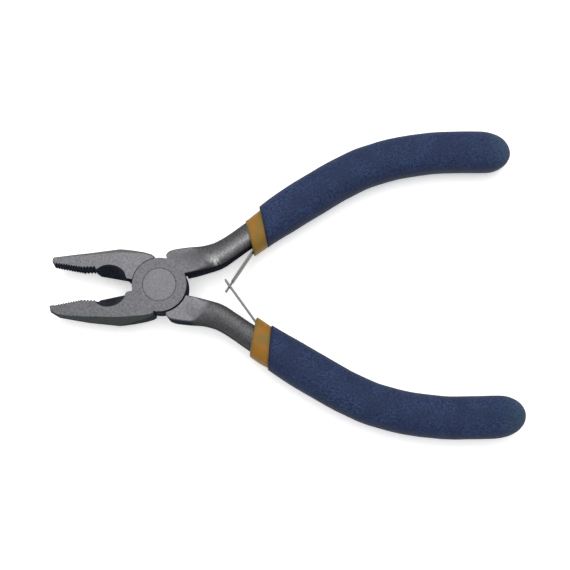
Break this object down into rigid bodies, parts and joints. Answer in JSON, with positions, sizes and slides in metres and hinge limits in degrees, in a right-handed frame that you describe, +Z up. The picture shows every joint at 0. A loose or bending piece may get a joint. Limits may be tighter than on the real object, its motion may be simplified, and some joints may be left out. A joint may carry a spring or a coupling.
{
  "type": "mini combination pliers",
  "caption": "Small hand pliers with toothed jaws, scalloped side cutters, a riveted lap joint, curved soft grips and crossed leaf springs that hold them open.",
  "frame": {"origin": "on the pivot axis, at the flat underside of the joint", "axes": "+X from the jaws toward the handles along the tool's middle line, +Y toward the handle of the upper joint plate, +Z up along the pivot axis"},
  "size_m": [0.1087, 0.0727, 0.0086],
  "materials": {
    "blasted_steel": "fine blasted satin with ground facets",
    "rivet_steel": "ground flush, satin",
    "spring_steel": "bright rolled strip",
    "mustard_vinyl": "smooth matt dipped vinyl",
    "navy_vinyl": "finely textured matt vinyl"
  },
  "bodies": {
    "over_half": {"lever_over": "blasted_steel", "pivot_rivet": "rivet_steel", "spring_rivet_upper": "rivet_steel", "leaf_spring_upper": "spring_steel", "inner_sleeve_upper": "mustard_vinyl", "grip_upper": "navy_vinyl"},
    "under_half": {"lever_under": "blasted_steel", "spring_rivet_lower": "rivet_steel", "leaf_spring_lower": "spring_steel", "inner_sleeve_lower": "mustard_vinyl", "grip_lower": "navy_vinyl"}
  },
  "joints": [
    {"name": "pliers_pivot", "type": "hinge", "parent": "over_half", "child": "under_half", "pos_m": [0, 0, 0.0036], "axis": [0, 0, 1], "range_deg": [0, 20], "stiffness_Nm_per_rad": 0.8, "springref_deg": -7.16, "deforming": ["leaf_spring_upper", "leaf_spring_lower"]}
  ]
}
